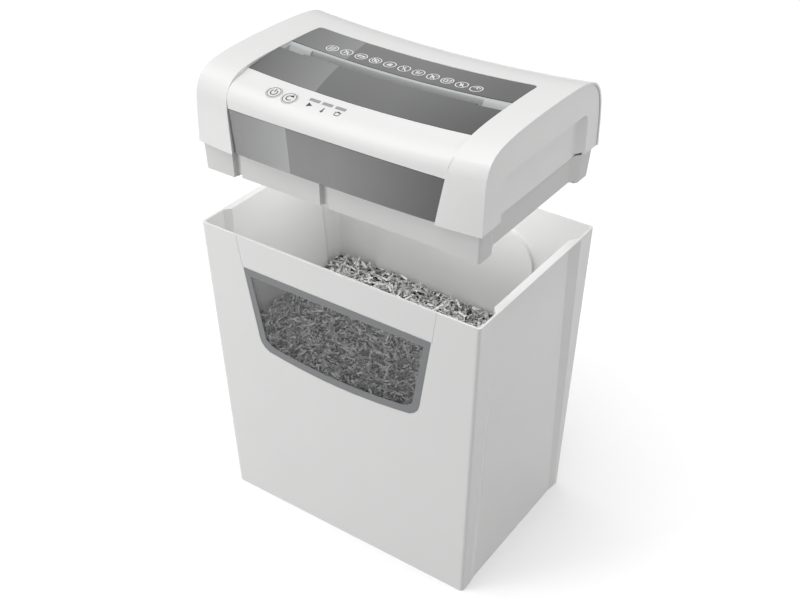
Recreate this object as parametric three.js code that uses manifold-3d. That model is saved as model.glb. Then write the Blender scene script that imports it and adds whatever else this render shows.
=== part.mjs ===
// Cross-cut paper shredder: cutter head held above a tapered bin. Millimetres, X right, Y back, Z up, Z =
// 0 on the floor.
import * as THREE from "three";
import { mergeVertices } from "three/addons/utils/BufferGeometryUtils.js";
import Module from "manifold-3d";

const wasm = await Module();
wasm.setup();

// ---------- bin ----------
const WALL = 2.5;
const RIM_HX = 191.5, RIM_HY = 126.3, RIM_Z = 402.5;          // rim half sizes and height
const BOT_HX = 177.7, BOT_YF = -117.0, BOT_YR = 124.2;        // bottom outline
const BIN_R = 4, FLOOR_T = 3;
const GRIP_TOP_Z = RIM_Z - 2.6;                               // underside of the side ledge
const BACK_FLOOR_Y = 121.4;                                   // floor of the shallow back recess
const BACK_HX = 115.5, BACK_TOP_Z = 361, BACK_R = 44;
const WIN_TOP = 361, WIN_TOP_HX = 131.5, WIN_BOT_HX = 115.5, WIN_SIDE_BOT = 262, WIN_BOT = 240;
const INSERT_HX_TOP = 138.6, INSERT_T = 1.3, GAP = 0.3;
const HEAP_Z = 231;

// ---------- head (heights measured from the lower edge of the cover) ----------
const HEAD_Z = 507.1;                                         // lower edge of the cover, head lifted
const SEAT_LIFT = 101.0;                                      // lift above the closed position
const COVER_HX = 185.9, CHEEK_HX = 185.0;
// the top dips this much midway between its ends
const SADDLE = 9.0;
// the lower front edge bulges this much midway
const BOW = 8.0;
const CHANNEL_HX = 145.3, CHANNEL_HX_LOW = 133.1;             // centre channel between the arms
const CHANNEL_REAR = 52.6, CHANNEL_R = 6;
const PANEL_T = 2.4;
const SLOT_F = -20.7, SLOT_R = 0.6, THROAT_HX = 113;
// how far the front panel reaches over the throat
const LIP = 3.2;
const TRAY_BOT = -34.1, TRAY_MID = -31.2, TRAY_FLOOR = -28.7;
const OUTLET_HX = 117, OUTLET_F = -54, OUTLET_R = 23;

// ---------- cutting unit ----------
const CUT_Z = 22, CUT_F = -33.5, CUT_R = 1.5;                 // shaft centres
const DISC_R = 19.4, DISC_T = 3.5, DISC_PITCH = 8, DISC_N = 28, CORE_R = 14.6;
const FRAME_X = 119.2, FRAME_T = 2.4;
const SYNC_TEETH = 20, SYNC_MOD = 1.75;
const DRIVE_TEETH = 50, IDLER_SMALL = 14, DRIVE_MOD = 1.5;
const IDLER_LARGE = 48, MOTOR_TEETH = 12, MOTOR_MOD = 1.0;
const IDLER_ANGLE = 0.14, MOTOR_ANGLE = 0.09;                 // direction of the gear centres
const IDLER_Y = CUT_R + (DRIVE_TEETH + IDLER_SMALL) / 2 * DRIVE_MOD * Math.cos(IDLER_ANGLE);
const IDLER_Z = CUT_Z + (DRIVE_TEETH + IDLER_SMALL) / 2 * DRIVE_MOD * Math.sin(IDLER_ANGLE);
const MOTOR_Y = IDLER_Y + (IDLER_LARGE + MOTOR_TEETH) / 2 * MOTOR_MOD * Math.cos(MOTOR_ANGLE);
const MOTOR_Z = IDLER_Z + (IDLER_LARGE + MOTOR_TEETH) / 2 * MOTOR_MOD * Math.sin(MOTOR_ANGLE);

// ---------- solid helpers ----------
function solid(geometry) {
  let g = geometry.clone();
  for (const name of ["normal", "uv"]) if (g.getAttribute(name)) g.deleteAttribute(name);
  g = mergeVertices(g, 1e-4);
  return new wasm.Manifold(new wasm.Mesh({
    numProp: 3,
    vertProperties: new Float32Array(g.getAttribute("position").array),
    triVerts: new Uint32Array(g.getIndex().array),
  }));
}
function geometryOf(manifold) {
  const m = manifold.getMesh();
  const g = new THREE.BufferGeometry();
  const p = new Float32Array(m.numVert * 3);
  for (let i = 0; i < m.numVert; i++) for (let k = 0; k < 3; k++) p[i * 3 + k] = m.vertProperties[i *
    m.numProp + k];
  g.setAttribute("position", new THREE.BufferAttribute(p, 3));
  g.setIndex(new THREE.BufferAttribute(new Uint32Array(m.triVerts), 1));
  g.computeVertexNormals();
  return g;
}
const mix = (a, b, t) => a + (b - a) * t;
const mirrorX = (s) => s.mirror([1, 0, 0]);
const cut = (a, ...rest) => rest.reduce((s, b) => s.subtract(b), a);
const join = (a, ...rest) => rest.reduce((s, b) => s.add(b), a);
const box = (x0, x1, y0, y1, z0, z1) => {
  const g = new THREE.BoxGeometry(x1 - x0, y1 - y0, z1 - z0);
  g.translate((x0 + x1) / 2, (y0 + y1) / 2, (z0 + z1) / 2);
  return solid(g);
};
function extruded(points, depth, holes = []) {
  const shape = new THREE.Shape(points.map(([u, v]) => new THREE.Vector2(u, v)));
  for (const h of holes) shape.holes.push(new THREE.Path(h.map(([u, v]) => new THREE.Vector2(u, v))));
  return new THREE.ExtrudeGeometry(shape, { depth, bevelEnabled: false, steps: 1 });
}
const basis = (x, y, z) => new THREE.Matrix4().makeBasis(new THREE.Vector3(...x), new THREE.Vector3(...y),
  new THREE.Vector3(...z));
// outline in (y, z), swept along X
function alongX(points, x0, x1, holes = []) {
  const g = extruded(points, x1 - x0, holes);
  g.applyMatrix4(basis([0, 1, 0], [0, 0, 1], [1, 0, 0]));
  g.translate(x0, 0, 0);
  return solid(g);
}
// the head's top is a saddle and its front bulges: moves a point of the straight head to its place in the
// curved one
function curved(x, y, z) {
  const u = Math.min(Math.abs(x) / COVER_HX, 1);
  const dip = SADDLE * (1 - u * u) * THREE.MathUtils.smoothstep(z, 46, 80);
  const bulge = BOW * (1 - u * u * u) * Math.max(0, 1 - z / 79) * THREE.MathUtils.clamp((-60 - y) / 40, 0,
    1);
  return [x, y - bulge, z - dip];
}
// as alongX, then bent into the head's curved shape
function alongCurve(points, x0, x1) {
  const g = new THREE.ExtrudeGeometry(new THREE.Shape(points.map(([u, v]) => new THREE.Vector2(u, v))),
    { depth: x1 - x0, bevelEnabled: false, steps: Math.max(1, Math.round((x1 - x0) / 37)) });
  g.applyMatrix4(basis([0, 1, 0], [0, 0, 1], [1, 0, 0]));
  g.translate(x0, 0, 0);
  const p = g.getAttribute("position");
  for (let i = 0; i < p.count; i++) p.setXYZ(i, ...curved(p.getX(i), p.getY(i), p.getZ(i)));
  return solid(g);
}
// outline in (x, z), swept along Y
function alongY(points, y0, y1, holes = []) {
  const g = extruded(points, y1 - y0, holes);
  g.applyMatrix4(basis([1, 0, 0], [0, 0, 1], [0, -1, 0]));
  g.translate(0, y1, 0);
  return solid(g);
}
// outline in (x, y), swept along Z
function alongZ(points, z0, z1, holes = []) {
  const g = extruded(points, z1 - z0, holes);
  g.translate(0, 0, z0);
  return solid(g);
}
// outline(z) in (x, y), the same number of points at every height, joined by straight walls in the given
// number of steps
function loftGeometry(outline, z0, z1, steps = 1) {
  const low = outline(z0), n = low.length, pos = [], idx = [];
  for (let k = 0; k <= steps; k++) {
    const z = mix(z0, z1, k / steps);
    for (const [x, y] of outline(z)) pos.push(x, y, z);
  }
  for (let k = 0; k < steps; k++) for (let i = 0; i < n; i++) {
    const a = k * n + i, b = k * n + (i + 1) % n;
    idx.push(a, b, b + n, a, b + n, a + n);
  }
  const cap = THREE.ShapeUtils.triangulateShape(low.map(([x, y]) => new THREE.Vector2(x, y)), []),
    top = steps * n;
  for (const [a, b, c] of cap) idx.push(c, b, a, top + a, top + b, top + c);
  const g = new THREE.BufferGeometry();
  g.setAttribute("position", new THREE.BufferAttribute(new Float32Array(pos), 3));
  g.setIndex(idx);
  return g;
}
const loft = (outline, z0, z1, steps) => solid(loftGeometry(outline, z0, z1, steps));
function rounded(x0, x1, y0, y1, r, n = 4) {
  const pts = [];
  for (const [cx, cy, a0] of [[x1 - r, y1 - r, 0], [x0 + r, y1 - r, 90], [x0 + r, y0 + r, 180],
    [x1 - r, y0 + r, 270]])
    for (let i = 0; i <= n; i++) {
      const a = (a0 + 90 * i / n) * Math.PI / 180;
      pts.push([cx + r * Math.cos(a), cy + r * Math.sin(a)]);
    }
  return pts;
}
const circle = (cx, cy, r, n = 32, phase = 0) => Array.from({ length: n }, (_, i) => {
  const a = phase + 2 * Math.PI * i / n;
  return [cx + r * Math.cos(a), cy + r * Math.sin(a)];
});
const rodX = (y, z, r, x0, x1, n = 24) => alongX(circle(y, z, r, n), x0, x1);
const rodZ = (x, y, r, z0, z1, n = 20) => alongZ(circle(x, y, r, n), z0, z1);
// smooth curve through the given points, count + 1 samples
function smooth(points, count) {
  const curve = new THREE.CatmullRomCurve3(points.map(([u, v]) => new THREE.Vector3(u, v, 0)), false,
    "centripetal");
  return curve.getSpacedPoints(count).map((p) => [p.x, p.y]);
}
// moves an open line to its right-hand side by d
function offset(line, d) {
  return line.map(([u, v], i) => {
    const [a, b] = [line[Math.max(i - 1, 0)], line[Math.min(i + 1, line.length - 1)]];
    const l = Math.hypot(b[0] - a[0], b[1] - a[1]);
    return [u + (b[1] - a[1]) / l * d, v - (b[0] - a[0]) / l * d];
  });
}

// ---------- outlines of the head ----------
const ARCH = smooth([[-121.3, 0], [-120.3, 28], [-119.2, 50], [-117.4, 62], [-113.4, 71.5], [-109, 77],
  [-103, 81.3],
  [-95.6, 84.6], [-82, 87.6], [-61, 90], [-41.8, 91], [-14, 91.6], [15, 91.6], [43.5, 91], [73.5, 89.4],
    [88.7, 87.2],
  [100, 84.4], [109, 79.6], [116, 72.6], [121, 63], [124, 51], [125.6, 36], [126.3, 0]], 44);
const archInset = (d, bottom) => {
  const line = offset(ARCH, d).filter(([, z]) => z > bottom + 1);
  return [[line[0][0], bottom], ...line, [line[line.length - 1][0], bottom]];
};
// top and front face of the channel between the arms, from the lower front edge to the rear
const FASCIA_TOP = 50.6;
const CENTRE_FRONT = [[-118.0, 0.9], [-117.9, 26], [-117.7, FASCIA_TOP]];
const STRIP_LINE = smooth([[-117.7, FASCIA_TOP + 0.5], [-117.3, 59.8], [-115.8, 66.4], [-112.8, 72.3],
  [-108.3, 76.7],
  [-102, 79.6], [-93, 81.5], [-84, 83.4], [-76.1, 85.0]], 12);
const TOP_FRONT_LINE = smooth([[-75.4, 85.2], [-50, 89], [SLOT_F - 0.2, 90.7]], 3);
const TOP_REAR_LINE = [[SLOT_R + 0.2, 90.9], [28, 91], [52.4, 90.2]];
const CENTRE = [[-118.0, -4], ...CENTRE_FRONT, ...STRIP_LINE, ...TOP_FRONT_LINE, ...TOP_REAR_LINE,
  [64, 89.6]];
const plate = (line, t) => [...line, ...offset(line, t).reverse()];
// front view of the channel, narrower towards the lower edge of the fascia
const channelFront = (grow) => [[-CHANNEL_HX_LOW - grow, -6], [CHANNEL_HX_LOW + grow, -6],
  [CHANNEL_HX_LOW + grow, 0.5],
  [CHANNEL_HX + grow, 82], [CHANNEL_HX + grow, 120], [-CHANNEL_HX - grow, 120], [-CHANNEL_HX - grow, 82],
    [-CHANNEL_HX_LOW - grow, 0.5]];
const channelPlan = (grow) => {
  const x = CHANNEL_HX + grow, y = CHANNEL_REAR + grow, r = CHANNEL_R, pts = [[-x, -140], [x, -140]];
  for (let i = 0; i <= 6; i++) pts.push([x - r + r * Math.cos(Math.PI / 12 * i),
    y - r + r * Math.sin(Math.PI / 12 * i)]);
  for (let i = 0; i <= 6; i++) pts.push([-x + r - r * Math.sin(Math.PI / 12 * i),
    y - r + r * Math.cos(Math.PI / 12 * i)]);
  return pts;
};
const channelSpace = (grow) => alongY(channelFront(grow), -140,
  80).intersect(alongZ(channelPlan(grow), -8, 130));
// everything outside a line that is moved inwards by d
const above = (d) => {
  const line = offset(CENTRE, d);
  return alongCurve([[-150, -4], ...line, [64, 130], [-150, 130]], -160, 160);
};
const below = (d) => {
  const line = offset(CENTRE, d);
  return [[line[0][0], -4], ...line, [line[line.length - 1][0], -4]];
};

// ---------- bin ----------
const frontTilt = Math.atan2(BOT_YF + RIM_HY, RIM_Z);
const frontY = (z) => BOT_YF - (BOT_YF + RIM_HY) * z / RIM_Z;
const faceX = (z) => BOT_HX + (RIM_HX - BOT_HX) * z / RIM_Z;
const rearY = (z) => BOT_YR + (RIM_HY - BOT_YR) * z / RIM_Z;
const gripOutline = (z, grow) => {
  const t = z / RIM_Z, floor = mix(175.9, 184.5, t) - grow, face = faceX(z);
  const fo = mix(-100.4, -91.8, t) - grow, fi = mix(-88, -80, t) - grow, ri = mix(102, 78.5, t) + grow,
    ro = mix(113, 95, t) + grow;
  const reach = 3, run = (face + reach - floor) / (face - floor);
  return [[floor, fi], [floor, ri], [face + reach, mix(ri, ro, run)],
    [face + reach, mix(fi, fo, run)]].reverse();
};
const binWall = (inset, z0, z1) => loft((z) => rounded(-faceX(z) + inset, faceX(z) - inset,
  frontY(z) + inset, rearY(z) - inset, BIN_R - inset * 0.4), z0, z1);
const gripSpace = (grow, z0, z1) => loft((z) => gripOutline(z, grow), z0, z1, 8);
const backOutline = (grow) => {
  const x = BACK_HX + grow, z = BACK_TOP_Z + grow, r = BACK_R, pts = [[-x, -2], [x, -2]];
  for (let i = 0; i <= 8; i++) pts.push([x - r + r * Math.cos(Math.PI / 16 * i),
    z - r + r * Math.sin(Math.PI / 16 * i)]);
  for (let i = 0; i <= 8; i++) pts.push([-x + r - r * Math.sin(Math.PI / 16 * i),
    z - r + r * Math.cos(Math.PI / 16 * i)]);
  return pts;
};
const winOutline = (d) => {
  // trapezoid with a sagging lower edge, inset by d
  const top = WIN_TOP - d, pts = [[-WIN_TOP_HX + d, top]];
  const side = (z) => mix(WIN_BOT_HX, WIN_TOP_HX, (z - WIN_SIDE_BOT) / (WIN_TOP - WIN_SIDE_BOT)) - d;
  const sag = (x) => WIN_BOT + d + 9.5 * (x / 110) ** 2;
  const xb = side(WIN_SIDE_BOT + 4);
  pts.push([-side(WIN_SIDE_BOT + 4), WIN_SIDE_BOT + 4]);
  pts.push([-xb + 2.2, WIN_SIDE_BOT - 3.5 + d * 0.5], [-xb + 7, WIN_SIDE_BOT - 9.5 + d * 0.7],
    [-xb + 14, sag(xb - 14)]);
  for (let i = 1; i < 10; i++) {
    const x = mix(-xb + 14, xb - 14, i / 10);
    pts.push([x, sag(x)]);
  }
  pts.push([xb - 14, sag(xb - 14)], [xb - 7, WIN_SIDE_BOT - 9.5 + d * 0.7],
    [xb - 2.2, WIN_SIDE_BOT - 3.5 + d * 0.5]);
  pts.push([side(WIN_SIDE_BOT + 4), WIN_SIDE_BOT + 4], [WIN_TOP_HX - d, top]);
  return pts;
};
// plate lying in the front wall: a is the depth of its outer face under the wall's outer face, b the
// depth of its inner face
function onFront(points, a, b, holes = []) {
  const g = extruded(points, b - a, holes);
  g.applyMatrix4(basis([1, 0, 0], [0, 0, 1], [0, -1, 0]));
  g.translate(0, b, 0);
  g.applyMatrix4(new THREE.Matrix4().makeRotationX(frontTilt));
  g.translate(0, BOT_YF, 0);
  return solid(g);
}
const slant = 1 / Math.cos(frontTilt);
const insertOutline = (g) => {
  const z0 = WIN_TOP + 0.4 - g, z1 = RIM_Z * slant,
    hx = (z) => mix(WIN_TOP_HX + 1.2, INSERT_HX_TOP, (z - WIN_TOP) / (RIM_Z - WIN_TOP)) + g;
  return [[-hx(z0), z0], [hx(z0), z0], [hx(z1), z1 + g], [-hx(z1), z1 + g]];
};
const bracket = (sx, sy) => {
  // rib inside a corner post that the tray's corner block rests on
  const z = HEAD_Z - SEAT_LIFT + TRAY_BOT - GAP, x0 = 173.2, x1 = 190.2;
  const [y0, y1] = sy < 0 ? [-112, -104] : [100, 108];
  const rib = alongY([[x0, z], [x0, z - 5], [x1, z - 26], [x1, z]], y0, y1);
  return sx < 0 ? mirrorX(rib) : rib;
};
function binShell() {
  const grip = gripSpace(0, -2, GRIP_TOP_Z), gripIn = gripSpace(WALL, -2, RIM_Z + 2);
  const back = alongY(backOutline(0), BACK_FLOOR_Y, 140),
    backIn = alongY(backOutline(WALL), BACK_FLOOR_Y - WALL, 140);
  const inner = cut(binWall(WALL, FLOOR_T, RIM_Z + 1), gripIn, mirrorX(gripIn), backIn);
  let shell = cut(binWall(0, 0, RIM_Z), grip, mirrorX(grip), back, inner);
  const room = cut(binWall(WALL * 0.5, FLOOR_T, RIM_Z), grip, mirrorX(grip));
  for (const sx of [-1, 1]) for (const sy of [-1, 1]) shell = join(shell, bracket(sx, sy).intersect(room));
  return cut(shell, onFront(insertOutline(0), -2, INSERT_T), onFront(winOutline(0), -2, INSERT_T),
    onFront(winOutline(4), -2, WALL + 4));
}
function heap() {
  // inverted tub that stands for loosely packed shreds: crust on top, thin walls to the floor
  const nx = 16, ny = 11, side = 3.2, pos = [], idx = [];
  const level = (u, v, lower) => HEAP_Z + 5 * Math.sin(2.1 * u + 0.6) + 6 * (u - 0.5) + 4 * Math.sin(5.3 *
    u * v + 1.3) + 3 * Math.sin(7 * v - 2 * u) - lower;
  const grid = (lower, inset, flat) => {
    const base = pos.length / 3;
    for (let j = 0; j <= ny; j++) for (let i = 0; i <= nx; i++) {
      const u = i / nx, v = j / ny, z = flat ?? level(u, v, lower), h = flat ?? HEAP_Z;
      const hx = (175.9 + 8.6 * h / RIM_Z) - 3.4 - inset, y0 = frontY(h) + WALL + 1.0 + inset,
        y1 = BACK_FLOOR_Y - WALL - 0.8 - inset;
      pos.push(mix(-hx, hx, u), mix(y0, y1, v), z);
    }
    return base;
  };
  const at = (base, i, j) => base + j * (nx + 1) + i;
  const sheet = (base, up) => {
    for (let j = 0; j < ny; j++) for (let i = 0; i < nx; i++) {
      const [a, b, c, d] = [at(base, i, j), at(base, i + 1, j), at(base, i + 1, j + 1), at(base, i, j + 1)];
      if (up) idx.push(a, b, c, a, c, d);
      else idx.push(a, c, b, a, d, c);
    }
  };
  const ring = [];
  for (let i = 0; i < nx; i++) ring.push([i, 0]);
  for (let j = 0; j < ny; j++) ring.push([nx, j]);
  for (let i = nx; i > 0; i--) ring.push([i, ny]);
  for (let j = ny; j > 0; j--) ring.push([0, j]);
  const strip = (a, b) => ring.forEach(([i, j], k) => {
    const [m, n] = ring[(k + 1) % ring.length];
    idx.push(at(a, i, j), at(a, m, n), at(b, m, n), at(a, i, j), at(b, m, n), at(b, i, j));
  });
  const top = grid(0, 0), outLow = pos.length / 3;
  const ringAt = (inset, z) => {
    const base = pos.length / 3, hx0 = (175.9 + 8.6 * z / RIM_Z) - 3.4 - inset,
      ya = frontY(z) + WALL + 1.0 + inset, yb = BACK_FLOOR_Y - WALL - 0.8 - inset;
    for (const [i, j] of ring) pos.push(mix(-hx0, hx0, i / nx), mix(ya, yb, j / ny), z);
    return base;
  };
  sheet(top, true);
  const low = ringAt(0, FLOOR_T + 0.3), lowIn = ringAt(side, FLOOR_T + 0.3), n = ring.length;
  ring.forEach(([i, j], k) => {
    const k2 = (k + 1) % n, [m, q] = ring[k2];
    idx.push(low + k, low + k2, at(top, m, q), low + k, at(top, m, q), at(top, i, j));
    idx.push(lowIn + k, lowIn + k2, low + k2, lowIn + k, low + k2, low + k);
  });
  const inside = grid(4, side);
  sheet(inside, false);
  ring.forEach(([i, j], k) => {
    const k2 = (k + 1) % n, [m, q] = ring[k2];
    idx.push(at(inside, i, j), at(inside, m, q), lowIn + k2, at(inside, i, j), lowIn + k2, lowIn + k);
  });
  const g = new THREE.BufferGeometry();
  g.setAttribute("position", new THREE.BufferAttribute(new Float32Array(pos), 3));
  g.setIndex(idx);
  return solid(g);
}

// ---------- head housing ----------
const cheekGrip = (grow) => {
  const fo = -84 - grow, fi = -72 - grow, ri = 86 + grow, ro = 96 + grow, floor = 176.9 - grow;
  const at = (x) => mix(fi, fo, (x - floor) / (CHEEK_HX - floor)),
    rear = (x) => mix(ri, ro, (x - floor) / (CHEEK_HX - floor));
  const g = loftGeometry((x) => rounded(at(x), rear(x), grow ? 0 : -30, 50 + grow, 10, 4), floor,
    CHEEK_HX + 3);
  g.applyMatrix4(basis([0, 1, 0], [0, 0, 1], [1, 0, 0]));
  return solid(g);
};
function cheek() {
  const face = alongX(archInset(3.0, 0), CHEEK_HX - WALL, CHEEK_HX);
  const pocket = cheekGrip(WALL).intersect(alongX(archInset(3.0, 0), 150, CHEEK_HX));
  return cut(join(face, pocket), cheekGrip(0));
}
const BUTTONS = { power: [-92.0, -97.0], reverse: [-70.6, -97.5] };
const BUTTON_TILT = 0.245, BUTTON_R = 9.0;
const stripZ = (y) => {
  for (let i = 1; i < STRIP_LINE.length; i++) {
    const [a, b] = [STRIP_LINE[i - 1], STRIP_LINE[i]];
    if (y >= a[0] && y <= b[0] && b[0] > a[0]) return mix(a[1], b[1], (y - a[0]) / (b[0] - a[0]));
  }
  return STRIP_LINE[STRIP_LINE.length - 1][1];
};
// outline standing on the sloping strip, w measured outwards along its normal
function onStrip(points, w0, w1, x, y, tilt) {
  const g = extruded(points, w1 - w0);
  g.translate(0, 0, w0);
  g.applyMatrix4(new THREE.Matrix4().makeRotationX(tilt));
  g.translate(...curved(x, y, stripZ(y)));
  return solid(g);
}
const INDICATORS = [[-43.2, -88.5], [-26.4, -88.5], [-9.4, -88.5]];
const INDICATOR_TILT = 0.21;
const buttonAt = (name, r, w0, w1) => onStrip(circle(0, 0, r, 32), w0, w1, BUTTONS[name][0],
  BUTTONS[name][1], BUTTON_TILT);
const indicatorAt = ([x, y], g, w0, w1) => onStrip(rounded(-6.4 - g, 6.4 + g, -2 - g, 2 + g, 0.5, 2), w0,
  w1, x, y, INDICATOR_TILT);
const controlHoles = () => [...Object.keys(BUTTONS).map((n) => buttonAt(n, BUTTON_R + 0.4, -14, 8)),
  ...INDICATORS.map((p) => indicatorAt(p, 0.3, -14, 6))];

function headCover() {
  const outer = alongCurve(ARCH, -COVER_HX, COVER_HX),
    hollow = alongCurve(archInset(2.6, -1), -COVER_HX - 1, COVER_HX + 1);
  const armSpace = cut(hollow, channelSpace(WALL));
  const midSpace = alongCurve(below(2 * PANEL_T + 0.6), -CHANNEL_HX - WALL - 0.1,
    CHANNEL_HX + WALL + 0.1).intersect(hollow);
  const rearSpace = hollow.intersect(box(-200, 200, CHANNEL_REAR + WALL, 140, -2, 100));
  let cover = cut(outer, above(PANEL_T + 0.3).intersect(channelSpace(0)), armSpace, midSpace, rearSpace);
  for (const sx of [-1, 1]) for (const y of [-101, 97]) {
    const post = cut(rodZ(sx * 160, y, 5.5, 2, 90),
      rodZ(sx * 160, y, 2.2, 0, 20)).intersect(alongCurve(archInset(1.5, 0), -COVER_HX, COVER_HX));
    cover = join(cover, post);
  }
  return cut(cover, box(-CHANNEL_HX - 0.1, CHANNEL_HX + 0.1, SLOT_F, SLOT_R, 20, 120), ...controlHoles());
}
const trayGrip = (grow) => {
  const floor = 175.5 - grow, reach = 190, run = (reach - floor) / (183 - 175.5);
  const [fo, fi, ri, ro] = [-97 - grow, -81 - grow, 80 + grow, 94 + grow];
  const pts = [[floor, fi], [floor, ri], [reach, ri + (ro - ri) * run],
    [reach, fi + (fo - fi) * run]].reverse();
  return alongZ(pts, -60, 10);
};
const TRAY_GROOVES = [[-140, -128.5], [-18.5, -7]];
function headTray() {
  const ring = (z, inset) => {
    const t = (z - TRAY_BOT) / -TRAY_BOT;
    const hx = mix(181.6, 183, t) - inset, f = mix(-117.8, -118.9, t) + inset,
      r = mix(114, 118.8, t) - inset;
    return rounded(-hx, hx, f, r, 3);
  };
  const grip = trayGrip(0), gripIn = trayGrip(WALL);
  let outer = cut(loft((z) => ring(z, 0), TRAY_BOT, -0.3), grip, mirrorX(grip),
    box(-138.6, 138.6, -200, 200, -60, TRAY_MID), box(-250, 250, -89, 87, -60, TRAY_MID),
      box(-138.6, 138.6, -130, -118.05, -60, 5));
  for (const [a, b] of TRAY_GROOVES) outer = cut(outer, box(a, b, -130, -112.6, -60, 5));
  let inner = cut(loft((z) => ring(z, WALL), TRAY_FLOOR, 2), gripIn, mirrorX(gripIn));
  for (const [a, b] of TRAY_GROOVES) inner = cut(inner, box(a - WALL, b + WALL, -130, -110.1, -60, 5));
  for (const sx of [-1, 1]) for (const y of [-101, 97]) inner = cut(inner,
    rodZ(sx * 160, y, 5.5, -40, -1.2));
  let tray = cut(outer, inner, alongZ(rounded(-OUTLET_HX, OUTLET_HX, OUTLET_F, OUTLET_R, 6), -60, 0));
  for (const sx of [-1, 1]) for (const y of [-101, 97])
    tray = cut(tray, rodZ(sx * 160, y, 2.4, -60, 5), rodZ(sx * 160, y, 4.6, -60, -20));
  return tray;
}
const screw = (x, y) => join(rodZ(x, y, 4.2, -23, -20.3, 16), rodZ(x, y, 1.9, -20.4, 16, 12));
function frontFascia() {
  const slab = alongCurve(plate(CENTRE_FRONT, PANEL_T), -150, 150);
  return slab.intersect(alongY(channelFront(-0.35), -135, -100));
}
const controlStrip = () => cut(alongCurve(plate(STRIP_LINE, PANEL_T), -150,
  150).intersect(channelSpace(-0.35)), ...controlHoles());
function topPanelFront() {
  const slab = alongCurve(plate(TOP_FRONT_LINE, PANEL_T), -150, 150).intersect(channelSpace(-0.35));
  const edge = SLOT_F - 0.6, lip = alongCurve([[edge, 90.7 - PANEL_T], [edge + LIP + 0.4, 90.8 - PANEL_T],
    [edge + LIP + 0.4, 90.8], [edge, 90.7]], -THROAT_HX, THROAT_HX);
  return join(slab, lip);
}
const topPanelRear = () => alongCurve(plate(TOP_REAR_LINE, PANEL_T), -150,
  150).intersect(channelSpace(-0.35));
function slotGuide() {
  const block = alongCurve([[-20.4, 45], [-4, 45], [0.4, 62], [0.4, 90.4], [-20.4, 87.4]], -150,
    150).intersect(channelSpace(-0.35));
  const throat = alongCurve([[-19.2, 40], [-12.8, 40], [-12.8, 58], [-1.6, 94], [-19.2, 94]], -THROAT_HX,
    THROAT_HX);
  const wing = alongCurve([[-18.9, 77], [-15.6, 77], [-1.6, 94], [-18.9, 94]], THROAT_HX - 1,
    CHANNEL_HX - 2);
  return cut(block, throat, wing, mirrorX(wing), box(-200, -THROAT_HX - 3, -30, 10, 30, 66),
    box(THROAT_HX + 3, 200, -30, 10, 30, 66));
}

// ---------- gears ----------
function gearOutline(teeth, mod, cy, cz, phase) {
  const pitch = teeth * mod / 2, tip = pitch + 0.8 * mod, root = pitch - 1.12 * mod,
    step = 2 * Math.PI / teeth, pts = [];
  for (let k = 0; k < teeth; k++) {
    const a = phase + k * step;
    for (const [r, f] of [[root, -0.29], [tip, -0.125], [tip, 0.125],
      [root, 0.29]]) pts.push([cy + r * Math.cos(a + f * step), cz + r * Math.sin(a + f * step)]);
  }
  return pts;
}
// phase of gear 2 so that it meshes with gear 1 across the line of centres at the given angle
const meshPhase = (angle, n1, phase1, n2) => angle + Math.PI + n1 / n2 * (angle - phase1) + Math.PI / n2;
const DRIVE_PHASE = 0;
const IDLER_PHASE = meshPhase(IDLER_ANGLE, DRIVE_TEETH, DRIVE_PHASE, IDLER_SMALL);
const MOTOR_PHASE = meshPhase(MOTOR_ANGLE, IDLER_LARGE, IDLER_PHASE, MOTOR_TEETH);
const SYNC_PHASE = 0, SYNC_PHASE_F = meshPhase(Math.PI, SYNC_TEETH, SYNC_PHASE, SYNC_TEETH);

// ---------- cutting unit ----------
function cutter(y, first, x0, x1) {
  const half = FRAME_X - 2.5;
  let s = join(rodX(y, CUT_Z, CORE_R, -half, half, 12), rodX(y, CUT_Z, 7.9, x0, x1, 24));
  const disc = [];
  for (let i = 0; i < 8; i++) {
    const a = 2 * Math.PI * i / 8;
    disc.push([DISC_R * Math.cos(a), DISC_R * Math.sin(a)]);
    if (i % 4 === 3) disc.push([(DISC_R - 3.2) * Math.cos(a + 0.1), (DISC_R - 3.2) * Math.sin(a + 0.1)]);
  }
  const discs = [];
  for (let i = 0; i < DISC_N; i++) {
    const x = -DISC_N * DISC_PITCH / 2 + first + i * DISC_PITCH, turn = i * 0.45;
    const pts = disc.map(([u, v]) => [y + u * Math.cos(turn) - v * Math.sin(turn),
      CUT_Z + u * Math.sin(turn) + v * Math.cos(turn)]);
    discs.push(alongX(pts, x - DISC_T / 2, x + DISC_T / 2));
  }
  return wasm.Manifold.union([s, ...discs]);
}
function comb(y, first, dir) {
  // bar along X with fingers that reach between the discs; dir points from the bar to the shaft
  const bar = y - dir * 26, back = y - dir * 23, tip = y - dir * (CORE_R + 0.9), pts = [];
  const left = -FRAME_X + 0.4, right = FRAME_X - 0.4;
  pts.push([left, bar], [left, back]);
  for (let i = 0; i < DISC_N; i++) {
    const x = -DISC_N * DISC_PITCH / 2 + first + i * DISC_PITCH + DISC_PITCH / 2;
    if (x + 1.2 > right) continue;
    pts.push([x - 1.2, back], [x - 1.2, tip], [x + 1.2, tip], [x + 1.2, back]);
  }
  pts.push([right, back], [right, bar]);
  return alongZ(dir > 0 ? pts.reverse() : pts, CUT_Z - 3, CUT_Z + 3);
}
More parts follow.
